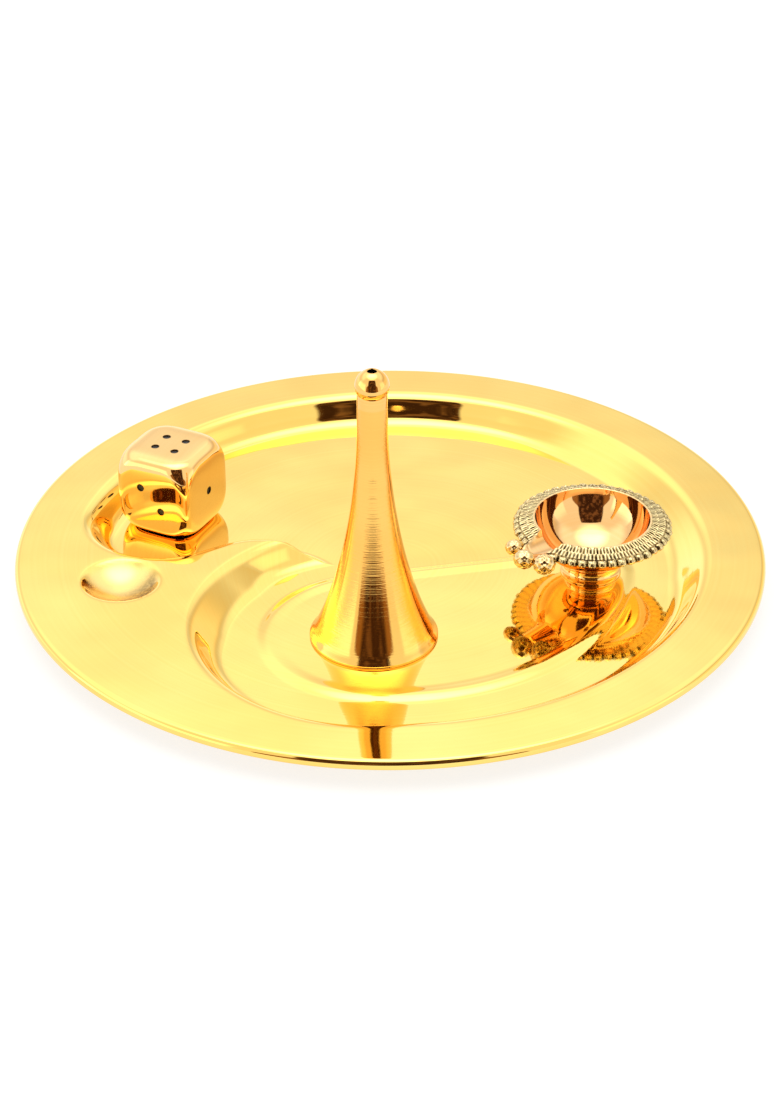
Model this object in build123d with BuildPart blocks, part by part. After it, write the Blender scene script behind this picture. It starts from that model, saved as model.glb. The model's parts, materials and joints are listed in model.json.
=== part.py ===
"""A brass puja thali: a pressed plate that carries an incense stand, an oil lamp and a die.

All lengths are in millimetres and all angles in degrees. +Z is up, the plate's centre is the origin and the
plate's lowest face lies on z = 0. The near edge of the plate is at -Y.
"""

import os
from math import asin, atan2, cos, degrees, hypot, radians, sin, sqrt, tan

from build123d import *

# Plate: the sheet, its edge and the levels of its pressings
plate_radius = 125.0
sheet = 1.2
rim_width = 18.0
edge_drop = 3.2
edge_roll = 1.9
recess_depth = 9.0
wall_slope = 60.0
shoulder_radius = 4.0
root_radius = 11.0
press_overrun = 0.02

# Plate: the front lobe of the recess, the pocket for the die and the tongue between them
lobe_angle = -97.0
lobe_distance = 48.0
lobe_overlap = 1.2
lobe_opening_angle = -109.0
lobe_corner_radius = 24.0
pocket_radius = 28.0
pocket_angle = 168.0
tongue_heading = 30.0
tongue_run = 11.0
tongue_tip_radius = 20.0
tongue_tip_turn = 126.0

# Plate: the raised floor, with a round end under the stand, a small one under the lamp and a straight back
raised_radius = 78.0
raised_rise = 0.7
raised_edge = 4.0
stand_end_radius = 34.0
lamp_end_radius = 10.8
lamp_end_angle = -4.6

# Plate: the round dimple on the tongue, placed from the middle of the pocket
dimple_radius = 13.0
dimple_depth = 5.2
dimple_lip = 0.6
dimple_left = 11.0
dimple_forward = 39.8

# Incense stand: a hollow turned trumpet on the raised floor, with a drilled ball on its neck
stand_height = 83.7
stand_base_radius = 20.7
stand_base_edge = 0.8
stand_neck_radius = 4.75
stand_wall = 2.0
stand_hollow_height = 52.0
stand_hollow_top_radius = 3.0
stand_hollow_crown = 8.0
stand_height_shares = (0.055, 0.17, 0.33, 0.515, 0.68, 0.81)
stand_radius_shares = (0.853, 0.62, 0.38, 0.187, 0.075, 0.021)
ball_radius = 5.4
ball_sink = 0.3
ball_crown_drop = 0.35
collar_radius = 4.95
collar_height = 1.6
collar_round = 0.5
spigot_radius = 3.0
spigot_length = 9.0
spigot_clearance = 0.1
stick_hole_radius = 1.5
stick_hole_depth = 14.0

# Oil lamp: a cast bowl with a scalloped rim and a wick lip, on a turned foot at the raised floor's small end
lamp_height = 20.8
bowl_mouth_radius = 18.9
bowl_depth = 12.6
bowl_wall = 2.0
bowl_lip = 0.9
lamp_rim_radius = 25.2
lamp_rim_drop = 1.8
lamp_rim_thickness = 2.6
scallop_count = 48
scallop_radius = 1.5
wick_angle = 221.0
wick_root_distance = 8.0
wick_root_radius = 7.2
wick_tip_distance = 29.0
wick_tip_radius = 3.6
wick_edge_drop = 0.3
wick_bead_radius = 3.4
wick_bead_distance = 29.3
wick_bead_spread = 13.0
wick_knob_distance = 31.6
wick_bead_sink = 2.0
boss_radius = 8.0
foot_radius = 10.2
foot_edge = 0.7
foot_height = 3.2
foot_top_radius = 8.2
tenon_radius = 3.0
tenon_length = 3.0
tenon_clearance = 0.1

# Die: a rounded cube in the pocket, with drilled pits that are filled with black enamel
die_size = 29.0
die_round = 4.6
die_ball_radius = 20.4
die_right = 2.4
die_back = 15.2
die_turn = -27.0
pip_radius = 1.3
pip_depth = 1.6
pip_spacing = 3.8
pip_row_share = 1.25
pip_clearance = 0.05
pip_fill = 1.2

# Levels and places that follow from the sizes above
rim_level = recess_depth + sheet
floor_level = sheet
raised_level = floor_level + raised_rise
recess_radius = plate_radius - rim_width
lobe_radius = recess_radius - lobe_distance + lobe_overlap

os.makedirs("parts", exist_ok=True)


def polar(distance, angle):
    """The point at this distance and angle from the plate's centre."""
    return (distance * cos(radians(angle)), distance * sin(radians(angle)))


def upright(x, y, level):
    """The plane in which a turned piece's half section is drawn, with its axis at x, y."""
    return Plane(origin=(x, y, level), x_dir=(1, 0, 0), z_dir=(0, -1, 0))


lobe_x, lobe_y = polar(lobe_distance, lobe_angle)
pocket_x, pocket_y = polar(recess_radius - pocket_radius, pocket_angle)
stand_x, stand_y = polar(raised_radius - stand_end_radius, lobe_angle)
lamp_x, lamp_y = polar(raised_radius - lamp_end_radius, lamp_end_angle)


def lobe_edge():
    """The round outline of the front lobe, at the rim."""
    with BuildSketch() as edge:
        with Locations((lobe_x, lobe_y)):
            Circle(lobe_radius)
    return edge.sketch


def main_edge():
    """The outline of the main recess with the die's pocket, at the rim.

    It runs round the back to the pocket, along the tongue to its tip, and across the lobe back to the front.
    """
    with BuildSketch() as edge:
        with BuildLine():
            back = CenterArc((0, 0), recess_radius, lobe_opening_angle, pocket_angle - lobe_opening_angle)
            pocket = JernArc(back @ 1, back % 1, pocket_radius, 270 + tongue_heading - pocket_angle)
            run = Line(pocket @ 1, pocket @ 1 + (pocket % 1) * tongue_run)
            tip = JernArc(run @ 1, run % 1, tongue_tip_radius, -tongue_tip_turn)
            TangentArc(tip @ 1, back @ 0, tangent=tip % 1)
        make_face()
        fillet(edge.vertices().sort_by(Axis.Y)[0], lobe_corner_radius)
    return edge.sketch


def pressed_pocket(edge, level, depth, shoulder, root):
    """A pocket pressed down from a level: a round shoulder, sloping walls and a round root.

    The disc on top of it is one sheet thick and carries the shoulder.
    """
    with BuildPart() as pocket:
        with BuildSketch(Plane.XY.offset(level)):
            add(edge)
            offset(amount=-shoulder * tan(radians(wall_slope / 2)))
        extrude(amount=-depth, taper=90 - wall_slope)
        fillet(pocket.faces().sort_by(Axis.Z)[0].edges(), root)
        with BuildSketch(Plane.XY.offset(level)):
            Circle(plate_radius - edge_roll)
        extrude(amount=sheet)
        mouth = pocket.edges().filter_by_position(Axis.Z, level, level)
        fillet(mouth.filter_by(lambda arc: arc.bounding_box().size.X < 2 * recess_radius), shoulder)
    return pocket.part


def raised_outline(grow):
    """The outline of the raised floor: the front, the lamp's end, the straight back and the stand's end."""
    across = lamp_x - stand_x
    along = lamp_y - stand_y
    taper = degrees(asin((stand_end_radius - lamp_end_radius) / hypot(across, along)))
    back_turn = degrees(atan2(along, across)) - taper + 90
    lamp_turn = back_turn - lamp_end_angle
    stand_turn = 360 + lobe_angle - back_turn
    with BuildSketch() as outline:
        with BuildLine():
            CenterArc((0, 0), raised_radius + grow, lobe_angle, lamp_end_angle - lobe_angle)
            lamp_end = CenterArc((lamp_x, lamp_y), lamp_end_radius + grow, lamp_end_angle, lamp_turn)
            stand_end = CenterArc((stand_x, stand_y), stand_end_radius + grow, back_turn, stand_turn)
            Line(lamp_end @ 1, stand_end @ 0)
        make_face()
    return outline.sketch


def raised_floor(level):
    """The raised floor above a level, with gently sloping sides."""
    with BuildPart() as plateau:
        with BuildSketch(Plane.XY.offset(level)):
            add(raised_outline(raised_edge))
        with BuildSketch(Plane.XY.offset(level + raised_rise)):
            add(raised_outline(0))
        loft(ruled=True)
    return plateau.part


def dimple_cap(grow):
    """The round cap of the dimple below the rim, grown by the sheet's thickness for its underside."""
    ball = (dimple_radius**2 + dimple_depth**2) / (2 * dimple_depth)
    rise = ball - dimple_depth
    with BuildPart() as cap:
        with Locations((pocket_x - dimple_left, pocket_y - dimple_forward, rim_level + rise)):
            Sphere(ball + grow, -90, -degrees(asin(rise / (ball + grow))), align=None)
    return cap.part


# Thali plate: a disc with a turned-down edge, its pressings added below and cut from above
under_level = rim_level - sheet
under_shoulder = shoulder_radius - sheet
under_root = root_radius + sheet
cut_level = rim_level + press_overrun
cut_depth = recess_depth + press_overrun
under_recess = pressed_pocket(main_edge(), under_level, recess_depth, under_shoulder, under_root)
under_lobe = pressed_pocket(lobe_edge(), under_level, recess_depth, under_shoulder, under_root)
cut_recess = pressed_pocket(main_edge(), cut_level, cut_depth, shoulder_radius, root_radius)
cut_lobe = pressed_pocket(lobe_edge(), cut_level, cut_depth, shoulder_radius, root_radius)
top_plateau = raised_floor(floor_level)
under_plateau = raised_floor(floor_level - sheet)
under_dimple = dimple_cap(sheet)
cut_dimple = dimple_cap(0)

with BuildPart() as plate:
    with BuildSketch(Plane.XZ) as section:
        with BuildLine():
            Polyline(
                (0, under_level),
                (0, rim_level),
                (plate_radius, rim_level),
                (plate_radius, rim_level - edge_drop),
                (plate_radius - sheet, rim_level - edge_drop),
                (plate_radius - sheet, under_level),
                close=True,
            )
        make_face()
        fillet(section.vertices().sort_by_distance((plate_radius, rim_level))[0], edge_roll)
        fillet(section.vertices().sort_by_distance((plate_radius - sheet, under_level))[0], edge_roll - sheet)
    revolve(axis=Axis.Z)
    add(under_recess)
    add(under_lobe)
    add(under_dimple)
    add(cut_recess, mode=Mode.SUBTRACT)
    add(cut_lobe, mode=Mode.SUBTRACT)
    add(top_plateau)
    add(under_plateau, mode=Mode.SUBTRACT)
    add(cut_dimple, mode=Mode.SUBTRACT)
    rim_edges = plate.edges().filter_by_position(Axis.Z, rim_level, rim_level)
    fillet(rim_edges.filter_by(GeomType.CIRCLE).sort_by(SortBy.RADIUS)[0], dimple_lip)

plate.part.label = "thali_plate"
export_step(plate.part, "parts/thali_plate.step")

# Incense stand: the trumpet
stand_axis = Axis((stand_x, stand_y, 0), (0, 0, 1))
neck_level = raised_level + stand_height
stand_flare = [
    (
        stand_neck_radius + radius_share * (stand_base_radius - stand_neck_radius),
        height_share * stand_height,
    )
    for height_share, radius_share in zip(stand_height_shares, stand_radius_shares)
]
stand_hollow = [
    (radius - stand_wall, height)
    for radius, height in stand_flare
    if height < stand_hollow_height - stand_hollow_crown
]

with BuildPart() as stand:
    with BuildSketch(upright(stand_x, stand_y, raised_level)):
        with BuildLine():
            foot = Line((0, 0), (stand_base_radius, 0))
            edge = Line(foot @ 1, (stand_base_radius, stand_base_edge))
            flare = Spline(edge @ 1, *stand_flare, (stand_neck_radius, stand_height))
            Polyline(flare @ 1, (0, stand_height), (0, 0))
        make_face()
    revolve(axis=stand_axis)
    with BuildSketch(upright(stand_x, stand_y, raised_level)):
        with BuildLine():
            mouth = Line((0, 0), (stand_base_radius - stand_wall, 0))
            inside = Spline(mouth @ 1, *stand_hollow, (stand_hollow_top_radius, stand_hollow_height))
            Polyline(inside @ 1, (0, stand_hollow_height), (0, 0))
        make_face()
    revolve(axis=stand_axis, mode=Mode.SUBTRACT)
    with BuildSketch(Plane.XY.offset(neck_level)):
        with Locations((stand_x, stand_y)):
            Circle(spigot_radius + spigot_clearance)
    extrude(amount=-spigot_length - spigot_clearance, mode=Mode.SUBTRACT)

stand.part.label = "incense_stand_body"
export_step(stand.part, "parts/incense_stand_body.step")

# Incense stand: the drilled ball with its collar and spigot
ball_level = neck_level + collar_height + ball_radius - ball_sink
crown_level = ball_level + ball_radius - ball_crown_drop

with BuildPart() as ball:
    with BuildSketch(Plane.XY.offset(neck_level)):
        with Locations((stand_x, stand_y)):
            Circle(collar_radius)
    extrude(amount=collar_height)
    fillet(ball.edges(), collar_round)
    with BuildSketch(Plane.XY.offset(neck_level)):
        with Locations((stand_x, stand_y)):
            Circle(spigot_radius)
    extrude(amount=-spigot_length)
    with Locations((stand_x, stand_y, ball_level)):
        Sphere(ball_radius)
    split(bisect_by=Plane.XY.offset(crown_level), keep=Keep.BOTTOM)
    with BuildSketch(Plane.XY.offset(crown_level)):
        with Locations((stand_x, stand_y)):
            Circle(stick_hole_radius)
    extrude(amount=-stick_hole_depth, mode=Mode.SUBTRACT)

ball.part.label = "incense_stand_ball"
export_step(ball.part, "parts/incense_stand_ball.step")

# Oil lamp: the foot with its tenon
lamp_axis = Axis((lamp_x, lamp_y, 0), (0, 0, 1))
boss_level = raised_level + foot_height

with BuildPart() as lamp_foot:
    with BuildSketch(upright(lamp_x, lamp_y, raised_level)):
        with BuildLine():
            base = Polyline((0, 0), (foot_radius, 0), (foot_radius, foot_edge))
            sweep_up = TangentArc(base @ 1, (foot_top_radius, foot_height), tangent=(-1, 0))
            Polyline(
                sweep_up @ 1,
                (tenon_radius, foot_height),
                (tenon_radius, foot_height + tenon_length),
                (0, foot_height + tenon_length),
                (0, 0),
            )
        make_face()
    revolve(axis=lamp_axis)

lamp_foot.part.label = "diya_foot"
export_step(lamp_foot.part, "parts/diya_foot.step")

# Oil lamp: the bowl, its scalloped rim and its wick lip
rim_reach = lamp_rim_radius + scallop_radius
inner_ball = (bowl_mouth_radius**2 + bowl_depth**2) / (2 * bowl_depth)
outer_ball = inner_ball + bowl_wall
ball_height = lamp_height - bowl_depth + inner_ball
rim_top = lamp_height - lamp_rim_drop
rim_under = rim_top - lamp_rim_thickness
shell_radius = sqrt(outer_ball**2 - (ball_height - rim_under) ** 2)
wick_turn = Plane(origin=(lamp_x, lamp_y, raised_level), x_dir=(*polar(1, wick_angle), 0), z_dir=(0, 0, 1))


def wick_ring(distance):
    """The upright plane across the wick lip at a distance from the lamp's axis, level with the mouth."""
    middle = wick_turn.from_local_coords((distance, 0, lamp_height))
    return Plane(origin=middle, x_dir=wick_turn.z_dir, z_dir=wick_turn.x_dir)


def wick_cone(grow):
    """The tapered trough of the wick lip, grown by the bowl's wall for its outside, which ends at the rim."""
    with BuildPart() as cone:
        with BuildSketch(wick_ring(wick_root_distance)):
            Circle(wick_root_radius + grow)
        with BuildSketch(wick_ring(wick_tip_distance)):
            Circle(wick_tip_radius + grow)
        loft()
        if grow:
            split(bisect_by=Plane.XY.offset(raised_level + rim_top - wick_edge_drop), keep=Keep.BOTTOM)
    return cone.part


def wick_spot(distance, turn):
    """The middle of a bead at the wick lip, sunk below the rim's edge."""
    x, y = polar(distance, turn)
    return wick_turn.from_local_coords((x, y, rim_top - wick_bead_sink))


wick_trough = wick_cone(bowl_wall)
wick_groove = wick_cone(0)
wick_beads = (
    wick_spot(wick_bead_distance, -wick_bead_spread),
    wick_spot(wick_knob_distance, 0),
    wick_spot(wick_bead_distance, wick_bead_spread),
)

with BuildPart() as bowl:
    with BuildSketch(upright(lamp_x, lamp_y, raised_level)):
        with BuildLine():
            shell = RadiusArc((0, ball_height - outer_ball), (shell_radius, rim_under), -outer_ball)
            Polyline(
                shell @ 1,
                (rim_reach, rim_under),
                (rim_reach, rim_top),
                (bowl_mouth_radius + bowl_lip, lamp_height),
                (0, lamp_height),
                (0, ball_height - outer_ball),
            )
        make_face()
    revolve(axis=lamp_axis)
    with BuildSketch(Plane(origin=(lamp_x, lamp_y, raised_level + rim_under))):
        Circle(rim_reach + scallop_radius)
        Circle(lamp_rim_radius, mode=Mode.SUBTRACT)
        with PolarLocations(lamp_rim_radius, scallop_count):
            Circle(scallop_radius, mode=Mode.SUBTRACT)
    extrude(amount=lamp_height - rim_under, mode=Mode.SUBTRACT)
    with BuildSketch(Plane(origin=(lamp_x, lamp_y, boss_level))):
        Circle(boss_radius)
    extrude(until=Until.NEXT)
    add(wick_trough)
    with Locations(*wick_beads):
        Sphere(wick_bead_radius, rotation=(0, 0, wick_angle))
    with Locations((lamp_x, lamp_y, raised_level + ball_height)):
        Sphere(inner_ball, mode=Mode.SUBTRACT)
    add(wick_groove, mode=Mode.SUBTRACT)
    with BuildSketch(Plane(origin=(lamp_x, lamp_y, boss_level))):
        Circle(tenon_radius + tenon_clearance)
    extrude(amount=tenon_length + tenon_clearance, mode=Mode.SUBTRACT)

bowl.part.label = "diya_bowl"
export_step(bowl.part, "parts/diya_bowl.step")

# Die: the pips of each side, placed on planes that turn with the die
pip_row = pip_spacing * pip_row_share
one_pip = [(0, 0)]
two_pips = [(-pip_spacing, pip_spacing), (pip_spacing, -pip_spacing)]
four_pips = two_pips + [(-pip_spacing, -pip_spacing), (pip_spacing, pip_spacing)]
six_pips = [(side, row) for side in (-pip_spacing, pip_spacing) for row in (-pip_row, 0, pip_row)]
die_place = Location(
    (pocket_x + die_right, pocket_y + die_back, floor_level + die_size / 2),
    (0, 0, die_turn),
)
die_spots = (
    (Plane.right, one_pip),
    (Plane.front, two_pips),
    (Plane.bottom, two_pips + one_pip),
    (Plane.top, four_pips),
    (Plane.back, four_pips + one_pip),
    (Plane.left, six_pips),
)
die_sides = [(Plane(die_place * side.offset(die_size / 2).location), spots) for side, spots in die_spots]

with BuildPart(Plane(die_place)) as die:
    Box(die_size, die_size, die_size)
    fillet(die.edges(), die_round)
    Sphere(die_ball_radius, mode=Mode.INTERSECT)
    for side, spots in die_sides:
        with BuildSketch(side):
            with Locations(*spots):
                Circle(pip_radius)
        extrude(amount=-pip_depth, mode=Mode.SUBTRACT)

die.part.label = "dice_body"
export_step(die.part, "parts/dice_body.step")

# Die: the enamel fills, seated on the bottoms of the pits
with BuildPart() as pips:
    for side, spots in die_sides:
        with BuildSketch(side.offset(-pip_depth)):
            with Locations(*spots):
                Circle(pip_radius - pip_clearance)
        extrude(amount=pip_fill)

pips.part.label = "dice_pips"
export_step(pips.part, "parts/dice_pips.step")
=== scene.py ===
"""Looks of the puja thali, built round its CAD frame.

Shapes are worked out in millimetres in the CAD frame, with +Z up and the plate's near edge at -Y.
They become metres when a mesh is made. Angles are in degrees, and a pair of numbers for a fade is
where it starts and where it is complete. In the studio, four numbers for a ramp are its two bounds
and its value at each, and three for a band are its two bounds and the width of its soft edges.
"""

import json
import math

import bpy
import numpy as np
from mathutils import Matrix, Vector

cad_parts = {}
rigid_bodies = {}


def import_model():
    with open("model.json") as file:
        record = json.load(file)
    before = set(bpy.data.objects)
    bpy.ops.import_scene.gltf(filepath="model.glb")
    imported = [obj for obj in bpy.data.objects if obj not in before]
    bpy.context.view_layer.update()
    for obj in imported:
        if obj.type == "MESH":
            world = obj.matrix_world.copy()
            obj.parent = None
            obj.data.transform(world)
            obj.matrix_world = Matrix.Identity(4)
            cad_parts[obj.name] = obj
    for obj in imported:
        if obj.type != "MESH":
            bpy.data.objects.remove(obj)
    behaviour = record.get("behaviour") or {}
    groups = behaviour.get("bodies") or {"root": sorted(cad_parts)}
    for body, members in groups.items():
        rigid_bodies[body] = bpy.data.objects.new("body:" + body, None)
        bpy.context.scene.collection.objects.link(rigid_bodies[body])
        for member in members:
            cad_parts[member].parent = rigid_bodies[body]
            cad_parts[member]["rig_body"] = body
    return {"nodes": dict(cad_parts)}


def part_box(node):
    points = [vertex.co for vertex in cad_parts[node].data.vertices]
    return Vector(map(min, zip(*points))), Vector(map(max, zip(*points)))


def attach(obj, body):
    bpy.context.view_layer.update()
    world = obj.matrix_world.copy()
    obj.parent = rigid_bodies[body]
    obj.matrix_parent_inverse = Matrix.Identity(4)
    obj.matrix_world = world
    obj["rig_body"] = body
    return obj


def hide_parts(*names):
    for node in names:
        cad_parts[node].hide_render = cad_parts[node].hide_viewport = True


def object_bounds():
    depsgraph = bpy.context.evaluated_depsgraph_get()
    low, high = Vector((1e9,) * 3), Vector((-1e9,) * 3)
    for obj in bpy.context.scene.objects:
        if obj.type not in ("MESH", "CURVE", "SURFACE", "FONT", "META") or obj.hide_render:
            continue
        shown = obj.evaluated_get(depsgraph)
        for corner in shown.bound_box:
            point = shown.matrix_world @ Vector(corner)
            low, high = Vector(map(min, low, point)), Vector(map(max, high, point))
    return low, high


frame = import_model()
cad_low, cad_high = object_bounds()

MM_PER_M = 1000.0
FULL_TURN = 2 * math.pi
FAR = 1e6
TINY = 1e-9
NEAR_ZERO = 0.001
SHARP_ANGLE = 38
axis_radius = 0.3


def node_box(node):
    """The lowest and highest corner of a CAD node."""
    low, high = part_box(node)
    return np.array(low) * MM_PER_M, np.array(high) * MM_PER_M


def polar(distance, angle):
    """The point at this distance and angle from the origin."""
    turn = math.radians(angle)
    return np.array((distance * math.cos(turn), distance * math.sin(turn)))


def heading_of(vector):
    """The angle of a vector."""
    return math.degrees(math.atan2(vector[1], vector[0]))


def distance_to(x, y, point):
    """How far points lie from one point."""
    return np.hypot(x - point[0], y - point[1])


def smooth(share):
    """A soft ramp from 0 to 1 as the share goes from 0 to 1."""
    share = np.clip(share, 0, 1)
    return share * share * (3 - 2 * share)


def fade(value, start, complete):
    """A soft ramp from 0 to 1 as the value goes from one bound to the other."""
    return smooth((value - start) / (complete - start))


def rounding(gap, softness):
    """How far a soft meeting of two surfaces lies beyond a sharp one, by the gap between them."""
    return np.maximum(softness - np.abs(gap), 0) ** 2 / np.maximum(4 * softness, TINY)


def cap_ball(radius, depth):
    """The radius of the ball whose cap has this radius and depth."""
    return (radius**2 + depth**2) / (2 * depth)


# Meshes


def closed_rings(rows, columns):
    """The faces of a stack of rings of points, with a cap at each end."""
    row, column = np.meshgrid(np.arange(rows - 1), np.arange(columns), indexing="ij")
    here = row * columns + column
    beside = row * columns + (column + 1) % columns
    quads = np.stack((here, beside, beside + columns, here + columns), -1)
    first = list(range(columns - 1, -1, -1))
    last = list(range((rows - 1) * columns, rows * columns))
    return quads.reshape(-1, 4).tolist() + [first, last]


def ring_points(profile, x, y, columns):
    """Rings of points: a profile of (radius, height) pairs, turned about an upright axis."""
    profile = np.asarray(profile)
    turn = np.linspace(0, FULL_TURN, columns, endpoint=False)
    radius, height = profile[:, :1], profile[:, 1:]
    return np.stack((x + radius * np.cos(turn), y + radius * np.sin(turn), height + 0 * turn), -1)


def turned(profile, x, y, columns):
    """The points and faces of a profile that is turned about an upright axis."""
    rings = ring_points(profile, x, y, columns)
    return rings.reshape(-1, 3), closed_rings(len(rings), columns)


def curve(points, per_span):
    """A smooth run of points through the given ones."""
    points = np.asarray(points, float)
    padded = np.vstack((2 * points[0] - points[1], points, 2 * points[-1] - points[-2]))
    run = []
    for before, start, end, after in zip(padded, padded[1:], padded[2:], padded[3:]):
        for share in np.linspace(0, 1, per_span, endpoint=False):
            run.append(
                start
                + 0.5 * share * (end - before)
                + share**2 * (before - 2.5 * start + 2 * end - 0.5 * after)
                + share**3 * (1.5 * (start - end) + 0.5 * (after - before))
            )
    return run + [points[-1]]


def arc(centre, radius, start, end, steps):
    """Points along an arc about a centre, from one angle to another."""
    angles = np.linspace(start, end, steps)
    return [np.asarray(centre) + polar(radius, angle) for angle in angles]


def add_mesh(name, points, faces, node, material, marks=None):
    """A smooth piece that stands for a CAD node.

    Marks are values at its points, by name, for its material.
    """
    mesh = bpy.data.meshes.new(name)
    mesh.from_pydata((np.asarray(points) / MM_PER_M).tolist(), [], faces)
    mesh.polygons.foreach_set("use_smooth", [True] * len(mesh.polygons))
    mesh.set_sharp_from_angle(angle=math.radians(SHARP_ANGLE))
    for mark, values in (marks or {}).items():
        attribute = mesh.attributes.new(mark, "FLOAT", "POINT")
        attribute.data.foreach_set("value", np.asarray(values, np.float32))
    mesh.materials.append(material)
    piece = bpy.data.objects.new(name, mesh)
    bpy.context.scene.collection.objects.link(piece)
    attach(piece, frame["nodes"][node]["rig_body"])
    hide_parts(node)


# Thali plate: the sheet and its edge

plate_low, plate_high = node_box("thali_plate")
plate_radius = min(np.abs(plate_low[:2]).min(), np.abs(plate_high[:2]).min())
rim_level = plate_high[2]
sheet = 1.2
edge_roll = 1.9
edge_drop = 3.2
edge_angle = 80
plate_columns = 720
plate_rings = 206
slope_reach = 0.2

# Thali plate: the recess and its wall, which is gentler at the right and at the left of the lobe

recess_radius = 107.0
recess_depth = 9.0
shoulder_radius = 4.9
root_radius = 6.0
wall_slope = 60.0
gentle_slope = 44.0
gentle_right_cosine = (0.35, 0.75)
gentle_right_near = (-42, -10)
gentle_left_far = (-5, -20)
gentle_left_near = (-70, -44)
gentle_left_inner = (-8, -24)

# Thali plate: the lobe in front, the die's pocket and the tongue between them

lobe_angle = -97.0
lobe_shift = 48.0
lobe_inset = 46.8
lobe_middle = polar(lobe_shift, lobe_angle)
lobe_radius = recess_radius - lobe_inset
lobe_opening = -109
lobe_corner_radius = 24
pocket_angle = 168
pocket_radius = 28
tongue_heading = 30
tongue_run = 11
tongue_tip_radius = 20
tongue_tip_turn = 126
ridge_softness = 2.5
ridge_gain = 4
ridge_fade = 1.5
arc_slack = 0.02
straight = 1e5

# Thali plate: the raised floor, with a low bead along its crest, and the dimple

raised_radius = 78.0
raised_rise = 0.7
raised_edge = 4.2
stand_end_radius = 34.0
lamp_end_radius = 10.8
lamp_end_angle = -4.6
stand_end = polar(raised_radius - stand_end_radius, lobe_angle)
lamp_end = polar(raised_radius - lamp_end_radius, lamp_end_angle)
crest_rise = 0.42
crest_width = 4.2
crest_from_lamp = (12.0, 26.0)
crest_from_left = (-42.0, -10.0)
dimple_offset = (11, 39.8)
dimple_middle = polar(recess_radius - pocket_radius, pocket_angle) - dimple_offset
dimple_radius = 13.0
dimple_depth = 5.2
dimple_softness = 0.06
dimple_wear_and_shade_edge = 3
# Where the painted shade on the dimple's near right side starts and is complete
dimple_shade_side = (-2, 13)


def walk(point, heading, radius, turn):
    """An arc from a point along a heading, to the right if the turn is negative, and its end."""
    side = math.copysign(1, turn)
    centre = point + polar(radius, heading + 90 * side)
    start = heading - 90 * side
    return (centre, radius, start, turn), centre + polar(radius, start + turn), heading + turn


def outline_depth(x, y, outline):
    """How far points lie inside an outline of arcs that have the inside on their left.

    Each arc is a centre, a radius, a start angle and a turn. The slack closes the joints.
    """
    depths = []
    for centre, radius, start, turn in outline:
        side = math.copysign(1, turn)
        slack = math.degrees(arc_slack / radius)
        angle = np.degrees(np.arctan2(y - centre[1], x - centre[0]))
        spin = (side * (angle - start) + slack) % 360
        depth = side * (radius - distance_to(x, y, centre))
        depths.append(np.where(spin <= abs(turn) + 2 * slack, depth, FAR))
    depths = np.stack(depths)
    nearest = np.abs(depths).argmin(0)
    return np.take_along_axis(depths, nearest[None], 0)[0]


def main_outline():
    """The main recess: the back, the die's pocket, the tongue and the way across the lobe."""
    point, heading = polar(recess_radius, pocket_angle), pocket_angle + 90
    pocket_turn = 270 + tongue_heading - pocket_angle
    pocket, point, heading = walk(point, heading, pocket_radius, pocket_turn)
    run, point, heading = walk(point, heading, straight, math.degrees(tongue_run / straight))
    tip, point, heading = walk(point, heading, tongue_tip_radius, -tongue_tip_turn)
    left = polar(1, heading + 90)
    across = polar(recess_radius, lobe_opening) - point
    bend = across @ across / (2 * left @ across)
    bend_middle = point + left * bend
    near = recess_radius - lobe_corner_radius
    span = math.hypot(*bend_middle)
    along = (near**2 - (abs(bend) + lobe_corner_radius) ** 2 + span**2) / (2 * span)
    toward = bend_middle / span
    sideways = np.array((-toward[1], toward[0]))
    corner = toward * along + sideways * math.sqrt(near**2 - along**2)
    corner_start = heading_of(bend_middle - corner)
    corner_end = heading_of(corner)
    close_start = heading_of(point - bend_middle)
    close_turn = (heading_of(corner - bend_middle) - close_start + 180) % 360 - 180
    return (
        (np.zeros(2), recess_radius, corner_end, pocket_angle - corner_end),
        pocket,
        run,
        tip,
        (bend_middle, abs(bend), close_start, close_turn),
        (corner, lobe_corner_radius, corner_start, (corner_end - corner_start) % 360),
    )


def raised_outline():
    """The crest of the raised floor: the front, the lamp's end, the back and the stand's end."""
    across = lamp_end - stand_end
    span = math.hypot(*across)
    taper = math.degrees(math.asin((stand_end_radius - lamp_end_radius) / span))
    back_turn = heading_of(across) - taper + 90
    back_start = lamp_end + polar(lamp_end_radius, back_turn)
    back_length = span * math.cos(math.radians(taper))
    back, _, _ = walk(back_start, back_turn + 90, straight, math.degrees(back_length / straight))
    return (
        (np.zeros(2), raised_radius, lobe_angle, lamp_end_angle - lobe_angle),
        (lamp_end, lamp_end_radius, lamp_end_angle, back_turn - lamp_end_angle),
        back,
        (stand_end, stand_end_radius, back_turn, 360 + lobe_angle - back_turn),
    )


def slope_at(x, y):
    """The slope of the recess wall, in radians."""
    cosine = x / np.maximum(np.hypot(x, y), 1)
    right = fade(cosine, *gentle_right_cosine) * fade(y, *gentle_right_near)
    left = fade(y, *gentle_left_far) * fade(y, *gentle_left_near) * fade(x, *gentle_left_inner)
    return np.radians(wall_slope - (wall_slope - gentle_slope) * np.maximum(right, left))


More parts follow.
